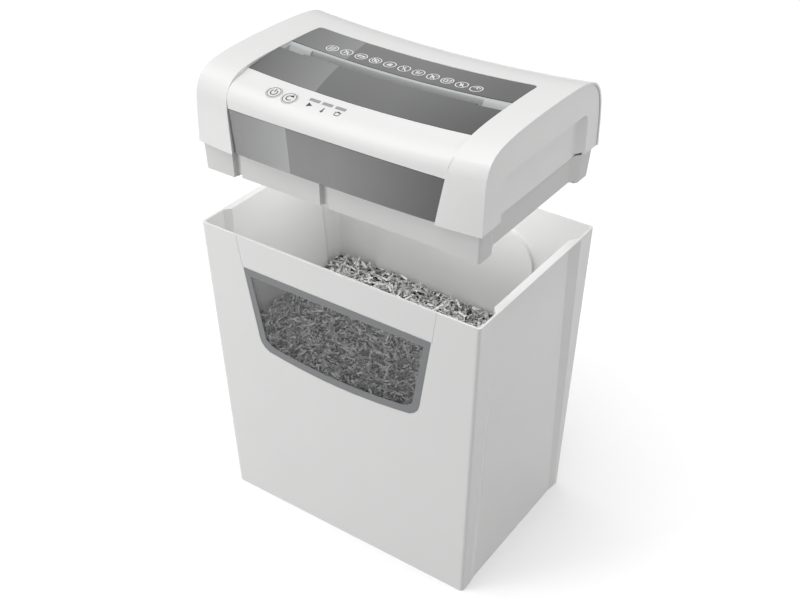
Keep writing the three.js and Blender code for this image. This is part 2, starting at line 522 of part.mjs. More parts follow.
function frame(x0, right) {
  const pts = right ? [[-64, -28.3], [44, -28.3], [60, -6], [112, -2], [112, 60], [96, 66], [-20, 43],
    [-64, 43]]
    : [[-64, -28.3], [44, -28.3], [44, 43], [-64, 43]];
  const holes = [circle(CUT_F, CUT_Z, 13.15, 32).reverse(), circle(CUT_R, CUT_Z, 13.15, 32).reverse()];
  for (const [y, z] of TIE_RODS) holes.push(circle(y, z, 2.7, 16).reverse());
  if (right) holes.push(circle(MOTOR_Y, MOTOR_Z, 9.4, 24).reverse(),
    circle(IDLER_Y, IDLER_Z, 2.75, 16).reverse());
  return alongX(pts, x0, x0 + FRAME_T, holes);
}
const TIE_RODS = [[-57, 36], [-57, -20], [38, -20]];
const tieRod = ([y, z]) => join(rodX(y, z, 5, -FRAME_X + 0.3, FRAME_X - 0.3, 16),
  rodX(y, z, 2.5, -FRAME_X - 3.4, FRAME_X + 3.4, 12));
const bearing = (x, y) => cut(rodX(y, CUT_Z, 13, x, x + 5, 32), rodX(y, CUT_Z, 8.05, x - 1, x + 6, 32));

const GEAR_X = 126;
const syncGear = (y, phase) => alongX(gearOutline(SYNC_TEETH, SYNC_MOD, y, CUT_Z, phase), -GEAR_X - 9,
  -GEAR_X, [circle(y, CUT_Z, 8.05, 24).reverse()]);
const driveGear = () => alongX(gearOutline(DRIVE_TEETH, DRIVE_MOD, CUT_R, CUT_Z, DRIVE_PHASE), GEAR_X,
  GEAR_X + 8, [circle(CUT_R, CUT_Z, 8.05, 24).reverse()]);
function idlerGear() {
  const small = alongX(gearOutline(IDLER_SMALL, DRIVE_MOD, IDLER_Y, IDLER_Z, IDLER_PHASE), GEAR_X - 0.5,
    GEAR_X + 9.5);
  const large = alongX(gearOutline(IDLER_LARGE, MOTOR_MOD, IDLER_Y, IDLER_Z, IDLER_PHASE), GEAR_X + 9,
    GEAR_X + 15);
  return cut(join(small, large), rodX(IDLER_Y, IDLER_Z, 4.1, GEAR_X - 2, GEAR_X + 20));
}
const idlerPin = () => join(rodX(IDLER_Y, IDLER_Z, 4.0, FRAME_X + FRAME_T + 0.3, GEAR_X + 17, 24),
  rodX(IDLER_Y, IDLER_Z, 2.5, FRAME_X - 3, FRAME_X + FRAME_T + 1, 12),
  rodX(IDLER_Y, IDLER_Z, 5.5, GEAR_X + 16, GEAR_X + 18, 16));
function motorBody() {
  const [y, z] = [MOTOR_Y, MOTOR_Z];
  const can = join(rodX(y, z, 27, 28, 112, 28), rodX(y, z, 22, 20, 28.5, 28),
    rodX(y, z, 9, 111.5, 121, 24));
  return cut(can, rodX(y, z, 4.6, 10, 130, 20));
}
function motorRotor() {
  const [y, z] = [MOTOR_Y, MOTOR_Z];
  let r = rodX(y, z, 4.0, 2, GEAR_X + 15, 20);
  r = join(r, alongX(gearOutline(MOTOR_TEETH, MOTOR_MOD, y, z, MOTOR_PHASE), GEAR_X + 8.5, GEAR_X + 15),
    rodX(y, z, 8, 4, 14, 20));
  for (let i = 0; i < 8; i++) {
    const blade = new THREE.BoxGeometry(9, 17, 1.2);
    blade.translate(9, 14.5, 0);
    blade.applyMatrix4(new THREE.Matrix4().makeRotationX(i * Math.PI / 4));
    blade.translate(0, y, z);
    r = join(r, solid(blade));
  }
  return r;
}
const motorClamp = () => {
  const [y, z] = [MOTOR_Y, MOTOR_Z];
  const ring = cut(alongX(circle(y, z, 30, 28), 60, 78), rodX(y, z, 27.3, 50, 90, 28));
  return join(ring, cut(box(60, 78, y - 20, y + 20, TRAY_FLOOR + 0.3, z), rodX(y, z, 28.5, 50, 90, 28)));
};
const powerBoard = () => join(box(-112, -22, 56, 108, -22, -20.4),
  ...[[-106, 62], [-28, 62], [-106, 102], [-28, 102]].map(([x, y]) => rodZ(x, y, 3, TRAY_FLOOR + 0.3, -21.9,
  10)),
  box(-100, -72, 64, 90, -20.5, 4), box(-60, -48, 66, 100, -20.5, -2));
const runCapacitor = () => rodZ(-36, 84, 11, -20.1, 20, 24);
function controlBoard() {
  const g = new THREE.BoxGeometry(112, 20, 1.6);
  g.applyMatrix4(new THREE.Matrix4().makeRotationX(BUTTON_TILT));
  g.translate(-50, -93, 60.5);
  return solid(g);
}

// ---------- materials ----------
const paint = (color, roughness = 0.5, metalness = 0,
  extra = {}) => new THREE.MeshStandardMaterial({ color, roughness, metalness, ...extra });
const M = {
  binWhite: paint(0xe9e9e8, 0.5), coverWhite: paint(0xf2f2f1, 0.25), dark: paint(0x3b3d40, 0.2),
    grey: paint(0xa9abad, 0.5),
  frameGrey: paint(0x8f9193, 0.5), pane: paint(0x6a6c6e, 0.15, 0, { transparent: true, opacity: 0.4 }),
    shreds: paint(0x9a9a98, 0.9),
  led: paint(0x7d8082, 0.4), steel: paint(0xb4b6b8, 0.35, 0.9), cutter: paint(0x6e7175, 0.3, 0.9),
    gear: paint(0xd8d6cf, 0.6),
  black: paint(0x222325, 0.5), board: paint(0x2f6b43, 0.6), motor: paint(0x777a7e, 0.4, 0.6),
    zinc: paint(0xc4c5c3, 0.35, 0.8),
};

const part = new THREE.Group(), bin = new THREE.Group(), head = new THREE.Group();
head.position.z = HEAD_Z;
part.add(bin, head);
function add(group, name, manifold, material) {
  const mesh = new THREE.Mesh(geometryOf(manifold), material);
  mesh.name = name;
  group.add(mesh);
}

add(bin, "bin_shell", binShell(), M.binWhite);
add(bin, "front_insert", onFront(insertOutline(-GAP), 0,
  INSERT_T - GAP).intersect(box(-200, 200, -140, 0, 0, RIM_Z)), M.binWhite);
add(bin, "window_frame", onFront(winOutline(GAP), 0.1, INSERT_T - GAP, [winOutline(10).reverse()]),
  M.frameGrey);
add(bin, "window_pane", onFront(winOutline(4 + GAP), INSERT_T, WALL + 0.8), M.pane);
add(bin, "paper_shreds", heap(), M.shreds);

add(head, "head_cover", headCover(), M.coverWhite);
const rightCheek = cheek();
add(head, "cheek_right", rightCheek, M.coverWhite);
add(head, "cheek_left", mirrorX(rightCheek), M.coverWhite);
add(head, "head_tray", headTray(), M.coverWhite);
add(head, "front_fascia", frontFascia(), M.dark);
add(head, "control_strip", controlStrip(), M.coverWhite);
add(head, "top_panel_front", topPanelFront(), M.dark);
add(head, "top_panel_rear", topPanelRear(), M.dark);
add(head, "slot_guide", slotGuide(), M.grey);
[[-160, -101], [160, -101], [-160, 97], [160, 97]].forEach(([x, y], i) => add(head, `tray_screw_${i + 1}`,
  screw(x, y), M.zinc));

add(head, "power_button", buttonAt("power", BUTTON_R, -8, 0.3), M.coverWhite);
add(head, "reverse_button", buttonAt("reverse", BUTTON_R, -8, 0.3), M.coverWhite);
INDICATORS.forEach((p, i) => add(head, `indicator_${i + 1}`, indicatorAt(p, 0, -7, 0.15), M.led));
add(head, "control_board", controlBoard(), M.board);

add(head, "frame_left", frame(-FRAME_X - FRAME_T, false), M.steel);
add(head, "frame_right", frame(FRAME_X, true), M.steel);
TIE_RODS.forEach((p, i) => add(head, `tie_rod_${i + 1}`, tieRod(p), M.zinc));
add(head, "cutter_front", cutter(CUT_F, 0, -GEAR_X - 9.5, GEAR_X - 1), M.cutter);
add(head, "cutter_rear", cutter(CUT_R, DISC_PITCH / 2, -GEAR_X - 9.5, GEAR_X + 8.5), M.cutter);
[[-FRAME_X - 3.7, CUT_F], [-FRAME_X - 3.7, CUT_R], [FRAME_X - 1.3, CUT_F],
  [FRAME_X - 1.3, CUT_R]].forEach(([x, y], i) => add(head, `bearing_${i + 1}`, bearing(x, y), M.zinc));
add(head, "comb_front", comb(CUT_F, 0, 1), M.black);
add(head, "comb_rear", comb(CUT_R, DISC_PITCH / 2, -1), M.black);
add(head, "sync_gear_front", syncGear(CUT_F, SYNC_PHASE_F), M.gear);
add(head, "sync_gear_rear", syncGear(CUT_R, SYNC_PHASE), M.gear);
add(head, "drive_gear", driveGear(), M.gear);
add(head, "idler_gear", idlerGear(), M.gear);
add(head, "idler_pin", idlerPin(), M.zinc);
add(head, "motor_body", motorBody(), M.motor);
add(head, "motor_rotor", motorRotor(), M.black);
add(head, "motor_clamp", motorClamp(), M.black);
add(head, "power_board", powerBoard(), M.board);
add(head, "run_capacitor", runCapacitor(), M.motor);

export default part;
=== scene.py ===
"""Looks of the paper shredder: its finishes, loose shreds and printed symbols, and the studio round it."""

from __future__ import annotations

import logging
import math
from dataclasses import dataclass, field
from enum import Enum
from typing import Any

import bpy
import numpy as np
from mathutils import Matrix, Vector

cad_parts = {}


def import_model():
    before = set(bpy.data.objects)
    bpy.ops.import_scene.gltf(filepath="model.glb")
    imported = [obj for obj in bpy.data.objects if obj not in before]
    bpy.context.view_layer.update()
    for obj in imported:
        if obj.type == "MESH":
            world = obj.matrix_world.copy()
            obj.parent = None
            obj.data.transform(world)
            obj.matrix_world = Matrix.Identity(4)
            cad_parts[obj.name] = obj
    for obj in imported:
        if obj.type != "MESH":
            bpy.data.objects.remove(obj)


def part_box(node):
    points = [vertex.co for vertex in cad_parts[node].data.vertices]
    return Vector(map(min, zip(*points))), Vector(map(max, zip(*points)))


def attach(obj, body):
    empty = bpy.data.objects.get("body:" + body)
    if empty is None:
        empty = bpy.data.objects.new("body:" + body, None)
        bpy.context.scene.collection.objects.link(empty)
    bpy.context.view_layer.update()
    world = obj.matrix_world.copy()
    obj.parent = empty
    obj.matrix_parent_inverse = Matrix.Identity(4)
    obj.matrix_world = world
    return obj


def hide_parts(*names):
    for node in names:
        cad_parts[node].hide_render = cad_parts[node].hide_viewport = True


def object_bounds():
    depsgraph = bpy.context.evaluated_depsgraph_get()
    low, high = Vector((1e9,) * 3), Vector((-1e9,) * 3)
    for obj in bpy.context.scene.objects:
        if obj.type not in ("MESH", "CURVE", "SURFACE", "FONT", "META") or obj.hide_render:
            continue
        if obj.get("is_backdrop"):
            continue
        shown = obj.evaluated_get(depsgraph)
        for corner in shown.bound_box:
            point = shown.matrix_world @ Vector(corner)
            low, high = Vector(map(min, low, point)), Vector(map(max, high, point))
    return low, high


LOG = logging.getLogger("shredder")
MM = 0.001
WELD = 4e-6  # metres

# The head's skin, in millimetres: its lower edge above the floor, its half width, the dip of its saddle,
# and how far a print stands above the plastic.
HEAD_BASE = 507.1
COVER_HALF = 185.9
SADDLE_DIP = 9.0
PRINT_LIFT = 0.12

Triple = tuple[float, float, float]
Colour = Triple


# ---------------------------------------------------------------- finishes


class Signal:
    """A shader socket that can stand in an expression: each operator adds one Math node."""

    def __init__(self, graph: "Graph", socket: bpy.types.NodeSocket) -> None:
        """Keeps the graph that the socket belongs to, and the socket."""
        self.graph = graph
        self.socket = socket

    def _math(self, operation: str, first: Any, second: Any) -> "Signal":
        """Adds the Math node of one operation on two values or signals."""
        return self.graph.make("ShaderNodeMath", {"operation": operation}, {0: first, 1: second})

    def __add__(self, other: Any) -> "Signal":
        """Sum."""
        return self._math("ADD", self, other)

    def __sub__(self, other: Any) -> "Signal":
        """Difference."""
        return self._math("SUBTRACT", self, other)

    def __mul__(self, other: Any) -> "Signal":
        """Product."""
        return self._math("MULTIPLY", self, other)


class Graph:
    """The node tree of one finish."""

    def __init__(self, name: str) -> None:
        """Starts an empty material.

        Args:
            name: the material's name.
        """
        self.material = bpy.data.materials.new(name)
        self.material.use_nodes = True
        self.tree = self.material.node_tree
        self.tree.nodes.clear()
        self.place = self.make("ShaderNodeTexCoord", output="Object")

    def make(
        self,
        kind: str,
        settings: dict[str, Any] | None = None,
        inputs: dict[Any, Any] | None = None,
        output: Any = 0,
    ) -> Signal:
        """Adds one node.

        Args:
            kind: the node's type.
            settings: its properties, set first.
            inputs: a value or a signal for each socket, by name or number.
            output: the socket that the returned signal stands for.

        Returns:
            The chosen output as a signal.
        """
        node = self.tree.nodes.new(kind)
        for key, value in (settings or {}).items():
            setattr(node, key, value)
        for key, value in (inputs or {}).items():
            if isinstance(value, Signal):
                self.tree.links.new(value.socket, node.inputs[key])
            else:
                node.inputs[key].default_value = value
        return Signal(self, node.outputs[output])

    def noise(self, size_mm: float, detail: float = 2.0, stretch: Triple = (1, 1, 1)) -> Signal:
        """Cloudy noise from 0 to 1.

        Args:
            size_mm: the size of a cloud.
            detail: how many finer layers lie over it.
            stretch: how much the noise is squeezed along X, Y and Z.

        Returns:
            The noise.
        """
        place = self.make("ShaderNodeMapping", {}, {"Vector": self.place, "Scale": stretch})
        scale = 1.0 / (size_mm * MM)
        return self.make("ShaderNodeTexNoise", {}, {"Vector": place, "Scale": scale, "Detail": detail})

    def blend(self, share: Any, first: Any, second: Any) -> Signal:
        """A colour between two colours, by a share from 0 to 1."""
        inputs = {0: share, 6: _rgba(first), 7: _rgba(second)}
        return self.make("ShaderNodeMix", {"data_type": "RGBA"}, inputs, 2)

    def rise(self, value: Signal, low: float, high: float, manner: str = "SMOOTHSTEP") -> Signal:
        """A rise from 0 at low to 1 at high, smooth or LINEAR."""
        inputs = {0: value, 1: low, 2: high, 3: 0.0, 4: 1.0}
        return self.make("ShaderNodeMapRange", {"interpolation_type": manner}, inputs)

    def axis(self, name: str) -> Signal:
        """The point's X, Y or Z in metres."""
        return self.make("ShaderNodeSeparateXYZ", {}, {0: self.place}, name)

    def bump(self, height: Signal, depth_mm: float, normal: Signal | None = None) -> Signal:
        """A normal that follows a height from 0 to 1."""
        inputs: dict[Any, Any] = {"Height": height, "Distance": depth_mm * MM, "Strength": 1.0}
        if normal is not None:
            inputs["Normal"] = normal
        return self.make("ShaderNodeBump", {}, inputs)

    def surface(self, **sockets: Any) -> bpy.types.Material:
        """Closes the tree with a Principled shader.

        Args:
            sockets: values or signals, named as the shader's sockets with _ for a space.

        Returns:
            The finished material.
        """
        inputs = {key.replace("_", " "): value for key, value in sockets.items()}
        if isinstance(inputs.get("Base Color"), tuple):
            inputs["Base Color"] = _rgba(inputs["Base Color"])
        shader = self.make("ShaderNodeBsdfPrincipled", {}, inputs)
        self.make_output(shader)
        return self.material

    def make_output(self, shader: Signal) -> None:
        """Joins a shader to the material's output."""
        node = self.tree.nodes.new("ShaderNodeOutputMaterial")
        self.tree.links.new(shader.socket, node.inputs["Surface"])


def _rgba(colour: Any) -> Any:
    """A colour with its alpha; a signal is passed through."""
    return colour if isinstance(colour, Signal) else (*colour[:3], 1.0)


def _grey(tone: float) -> Colour:
    """A grey with a trace of blue."""
    return (tone, tone * 1.01, tone * 1.025)


@dataclass(frozen=True)
class MouldedPlastic:
    """Injection-moulded plastic: an even colour, faint clouds of shine, and the mould's fine grain."""

    name: str
    colour: Colour
    roughness: float = 0.38
    grain_mm: float = 0.55
    grain_depth_mm: float = 0.012
    cloud: float = 0.03
    coat: float = 0.0

    def make(self) -> bpy.types.Material:
        """Builds the finish."""
        graph = Graph(self.name)
        clouds = graph.noise(70.0, 3.0)
        shade = tuple(c * (1 - self.cloud) for c in self.colour)
        grain = graph.noise(self.grain_mm, 3.0)
        flow = graph.noise(38.0, 1.0)
        normal = graph.bump(grain, self.grain_depth_mm, graph.bump(flow, 0.05))
        return graph.surface(
            Base_Color=graph.blend(clouds, self.colour, shade),
            Roughness=clouds * 0.10 + grain * 0.05 + (self.roughness - 0.07),
            Coat_Weight=self.coat,
            Coat_Roughness=0.12,
            Normal=normal,
        )


@dataclass(frozen=True)
class PanelPaintedReflection:
    """Polished grey panel with painted light: a painted reflection brightens it towards a slanted line and
    steps back there, and painted shade darkens it beyond the line.

    The line lies where x = step_x + slope_y y + slope_z z, with step_x in millimetres. The tones are linear
    greys: far and glow before the line, near and end beyond it. Spans are distances from the line in metres.
    """

    name: str
    far: float
    glow: float
    near: float
    end: float
    step_x: float
    fade_from: float
    slope_y: float = 0.0
    slope_z: float = 0.0
    fade_to: float = 0.200
    glow_span: float = 0.088
    step_half: float = 0.0004

    def make(self) -> bpy.types.Material:
        """Builds the finish: painted reflection and shade, as tone by the distance from the line, under a
        clear polished coat.
        """
        graph = Graph(self.name)
        # The colour below is painted light: a lighter reflection zone up to the slanted line, a step there,
        # and painted shade beyond it.
        lean = graph.axis("Y") * -self.slope_y + graph.axis("Z") * -self.slope_z
        along = graph.axis("X") + lean - self.step_x * MM
        before = graph.rise(along, -self.glow_span, 0.0, "LINEAR")
        beyond = graph.rise(along, self.fade_from, self.fade_to, "LINEAR")
        left = graph.blend(before, _grey(self.far), _grey(self.glow))
        right = graph.blend(beyond, _grey(self.near), _grey(self.end))
        colour = graph.blend(graph.rise(along, -self.step_half, self.step_half), left, right)
        haze = graph.noise(22.0, 4.0)
        fleck = graph.noise(0.35, 1.0)
        return graph.surface(
            Base_Color=graph.blend(fleck * 0.08, colour, _grey(self.glow)),
            Roughness=haze * 0.06 + fleck * 0.04 + 0.14,
            Coat_Weight=0.6,
            Coat_Roughness=0.05,
            Normal=graph.bump(graph.noise(60.0, 1.0), 0.03),
        )


@dataclass(frozen=True)
class TintedPane:
    """Clear plastic with a grey tint."""

    name: str
    colour: Colour
    alpha: float

    def make(self) -> bpy.types.Material:
        """Builds the finish: its alpha rises a little where the sheet is hazy."""
        graph = Graph(self.name)
        haze = graph.noise(40.0, 3.0)
        return graph.surface(
            Base_Color=graph.blend(haze, self.colour, tuple(c * 1.1 for c in self.colour)),
            Roughness=haze * 0.06 + 0.05,
            Alpha=haze * 0.03 + self.alpha,
            Normal=graph.bump(graph.noise(90.0, 1.0), 0.08),
        )


@dataclass(frozen=True)
class PaperFinish:
    """Office paper: fibre grain, and a tone that changes from shred to shred; the dark end of that tone is
    painted shade within the heap, not a colour of the paper.
    """

    name: str
    light: Colour
    dark: Colour

    def make(self) -> bpy.types.Material:
        """Builds the finish from the piece's "tone" attribute and fibre noise."""
        graph = Graph(self.name)
        tone = graph.make("ShaderNodeAttribute", {"attribute_name": "tone"}, {}, "Fac")
        fibre = graph.noise(0.9, 4.0, (1.0, 1.4, 0.8))
        speck = graph.rise(graph.noise(2.2, 2.0), 0.60, 0.66)
        # Low tones darken white paper towards near-black: painted shade within the heap, on top of the
        # random tone from shred to shred.
        share = tone + fibre * 0.25 - 0.12 - speck * 0.18
        return graph.surface(
            Base_Color=graph.blend(share, self.dark, self.light),
            Roughness=fibre * 0.1 + 0.78,
            Normal=graph.bump(fibre, 0.05),
        )


@dataclass(frozen=True)
class Metal:
    """Bare metal with drawn or ground lines along one axis."""

    name: str
    colour: Colour
    roughness: float
    line_mm: float = 0.5
    stretch: Triple = (0.05, 1.0, 1.0)

    def make(self) -> bpy.types.Material:
        """Builds the finish: fine lines, and oily clouds in the roughness."""
        graph = Graph(self.name)
        lines = graph.noise(self.line_mm, 2.0, self.stretch)
        clouds = graph.noise(16.0, 4.0)
        shade = tuple(c * 0.72 for c in self.colour)
        return graph.surface(
            Base_Color=graph.blend(clouds * 0.6 + lines * 0.4, self.colour, shade),
            Metallic=1.0,
            Roughness=clouds * 0.14 + lines * 0.08 + self.roughness,
            Normal=graph.bump(lines, 0.02),
        )


@dataclass(frozen=True)
class CircuitBoard:
    """Solder mask over copper tracks."""

    name: str
    mask: Colour
    track: Colour

    def make(self) -> bpy.types.Material:
        """Builds the finish: straight tracks from a brick pattern, and woven glass below."""
        graph = Graph(self.name)
        inputs = {"Vector": graph.place, "Scale": 260.0, "Mortar Size": 0.09}
        tracks = graph.make("ShaderNodeTexBrick", {}, inputs, "Fac")
        weave = graph.noise(0.8, 1.0, (1.0, 0.3, 1.0))
        return graph.surface(
            Base_Color=graph.blend(tracks, self.mask, self.track),
            Roughness=weave * 0.1 + 0.3,
            Normal=graph.bump(weave, 0.02),
        )


@dataclass(frozen=True)
class PrintInk:
    """Pad-printed ink: slightly uneven cover on the plastic."""

    name: str
    colour: Colour
    roughness: float = 0.5

    def make(self) -> bpy.types.Material:
        """Builds the finish."""
        graph = Graph(self.name)
        cover = graph.noise(0.6, 3.0)
        thin = tuple(c * 0.9 + 0.02 for c in self.colour)
        return graph.surface(
            Base_Color=graph.blend(cover, self.colour, thin),
            Roughness=cover * 0.1 + self.roughness,
            Normal=graph.bump(cover, 0.01),
        )


class Finish(Enum):
    """The finishes of the shredder, by the part that wears them."""

    SHELL = MouldedPlastic("satin_white_shell", (0.80, 0.80, 0.795), 0.34, coat=0.5)
    TRAY = MouldedPlastic("matt_white_tray", (0.72, 0.72, 0.715), 0.52, 0.8, 0.02)
    GUIDE = MouldedPlastic("grey_slot_guide", (0.50, 0.505, 0.51), 0.40)
    FRAME = MouldedPlastic("grey_window_frame", (0.22, 0.225, 0.23), 0.40)
    BUTTON = MouldedPlastic("white_button", (0.76, 0.76, 0.755), 0.30, 0.4, 0.006)
    LAMP = MouldedPlastic("frosted_indicator", (0.33, 0.335, 0.34), 0.28, 0.4, 0.004, coat=0.6)
    COMB = MouldedPlastic("black_comb", (0.03, 0.03, 0.032), 0.55)
    NYLON = MouldedPlastic("natural_nylon", (0.68, 0.66, 0.58), 0.42)
    CAN = MouldedPlastic("grey_can", (0.52, 0.52, 0.51), 0.5)
    # The fascia and top panel tones hold a painted reflection and painted shade.
    FASCIA = PanelPaintedReflection("grey_fascia_painted_reflection", 0.125, 0.31, 0.152, 0.024, 32.6, 0.060, slope_z=-0.165)
    TOP = PanelPaintedReflection("grey_top_panel_painted_reflection", 0.105, 0.235, 0.13, 0.055, -68.6, 0.090, slope_y=-0.208)
    PANE = TintedPane("grey_pane", (0.035, 0.036, 0.038), 0.44)
    # The shreds' dark colour is painted shade; their light colour is the paper's own.
    PAPER = PaperFinish("paper_shreds_white", (0.84, 0.84, 0.83), (0.10, 0.10, 0.102))
    # The bed is near-black paper: painted shade for the gaps between the loose shreds.
    PAINTED_SHADE_BED = PaperFinish("paper_bed_painted_shade", (0.20, 0.20, 0.20), (0.05, 0.05, 0.05))
    SHEET_STEEL = Metal("bright_sheet_steel", (0.60, 0.61, 0.62), 0.26)
    CUTTER = Metal("ground_cutter_steel", (0.40, 0.41, 0.43), 0.22, 0.4, (1.0, 0.1, 0.1))
    MOTOR = Metal("laminated_steel", (0.44, 0.44, 0.45), 0.34, 0.5, (1.0, 0.02, 0.02))
    BRONZE = Metal("sintered_bronze", (0.52, 0.36, 0.19), 0.38)
    ZINC = Metal("zinc_plated_steel", (0.66, 0.66, 0.68), 0.22)
    BOARD = CircuitBoard("green_board", (0.01, 0.09, 0.035), (0.03, 0.20, 0.09))
    DARK_INK = PrintInk("dark_grey_ink", (0.045, 0.046, 0.048))
    PALE_INK = PrintInk("pale_ink", (0.86, 0.86, 0.86))


class FinishRack:
    """Makes each finish once and hands it out."""

    def __init__(self) -> None:
        """Starts with no finish made."""
        self._made: dict[Finish, bpy.types.Material] = {}

    def dress(self, piece: bpy.types.Object, finish: Finish) -> None:
        """Puts a finish on a piece in place of any it has.

        Args:
            piece: a mesh object.
            finish: the finish it gets.
        """
        if finish not in self._made:
            self._made[finish] = finish.value.make()
        piece.data.materials.clear()
        piece.data.materials.append(self._made[finish])


# ---------------------------------------------------------------- mesh making


def mesh_piece(name: str, points: np.ndarray, faces: np.ndarray) -> bpy.types.Object:
    """Makes a smooth-shaded mesh object from whole arrays.

    Args:
        name: the piece's name.
        points: an (n, 3) array in metres.
        faces: an (m, k) array of point numbers.

    Returns:
        The new object, linked to the scene.
    """
    mesh = bpy.data.meshes.new(name)
    mesh.from_pydata(points.reshape(-1, 3), [], faces)
    mesh.polygons.foreach_set("use_smooth", np.full(len(mesh.polygons), True))
    mesh.update()
    piece = bpy.data.objects.new(name, mesh)
    bpy.context.scene.collection.objects.link(piece)
    return piece


def grid_faces(rows: int, columns: int) -> np.ndarray:
    """Quads of a grid whose point (i, j) has the number i * columns + j.

    Args:
        rows: the number of rows of points.
        columns: the number of points in a row.

    Returns:
        An (m, 4) array of point numbers.
    """
    i, j = np.meshgrid(np.arange(rows - 1), np.arange(columns - 1), indexing="ij")
    corner = i * columns + j
    quads = [corner, corner + columns, corner + columns + 1, corner + 1]
    return np.stack(quads, -1).reshape(-1, 4)


@dataclass(frozen=True)
class Moulding:
    """A CAD node whose rounded copy is what the eye sees.

    The edge is the radius of the copy's edges in millimetres, and 0 leaves them sharp. The crease is the
    least angle, in degrees, of an edge that is rounded or kept sharp.
    """

    node: str
    name: str
    body: str
    finish: Finish
    slot: str
    edge_mm: float
    crease_deg: float = 26.0


def moulded_copy(moulding: Moulding, rack: FinishRack) -> None:
    """Makes a joined copy of a CAD node with rounded edges, which stands for the node.

    Points nearer than the weld distance are one point, and faces that this closes up are left out.

    Args:
        moulding: the node, and how its copy is made.
        rack: hands out the finish.
    """
    source = bpy.data.objects[moulding.node].data
    points = np.empty(len(source.vertices) * 3, np.float32)
    source.vertices.foreach_get("co", points)
    corners = np.empty(len(source.loops), np.int32)
    source.loops.foreach_get("vertex_index", corners)
    points = points.reshape(-1, 3).astype(float)
    keys = np.round(points / WELD).astype(np.int64)
    _, first, back = np.unique(keys, axis=0, return_index=True, return_inverse=True)
    faces = back.reshape(-1)[corners].reshape(-1, 3)
    whole = (faces != np.roll(faces, 1, axis=1)).all(axis=1)
    piece = mesh_piece(moulding.name, points[first], faces[whole])
    crease = math.radians(moulding.crease_deg)
    if moulding.edge_mm > 0:
        bevel = piece.modifiers.new("rounded_edges", "BEVEL")
        bevel.width = moulding.edge_mm * MM
        bevel.segments = 3
        bevel.limit_method = "ANGLE"
        bevel.angle_limit = crease
        bevel.harden_normals = True
    else:
        piece.data.set_sharp_from_angle(angle=crease)
    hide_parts(moulding.node)
    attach(piece, moulding.body)
    rack.dress(piece, moulding.finish)
    LOG.info("%s: %d faces", moulding.name, len(piece.data.polygons))


# ---------------------------------------------------------------- the bin


@dataclass
class Bin:
    """The waste bin: shell, front insert, window and its frame."""

    rack: FinishRack

    def build(self) -> None:
        """Rounds the edges of the bin's mouldings and dresses them."""
        shell, frame, pane = Finish.SHELL, Finish.FRAME, Finish.PANE
        for moulding in (
            Moulding("bin_shell", "bin_walls", "bin", shell, "shell_white", 0.7, 9.0),
            Moulding("front_insert", "front_insert_panel", "bin", shell, "shell_white", 0.35, 31.0),
            Moulding("window_frame", "window_border", "bin", frame, "frame_grey", 0.0, 40.0),
            Moulding("window_pane", "window_glazing", "bin", pane, "pane_tint", 0.0, 40.0),
        ):
            moulded_copy(moulding, self.rack)


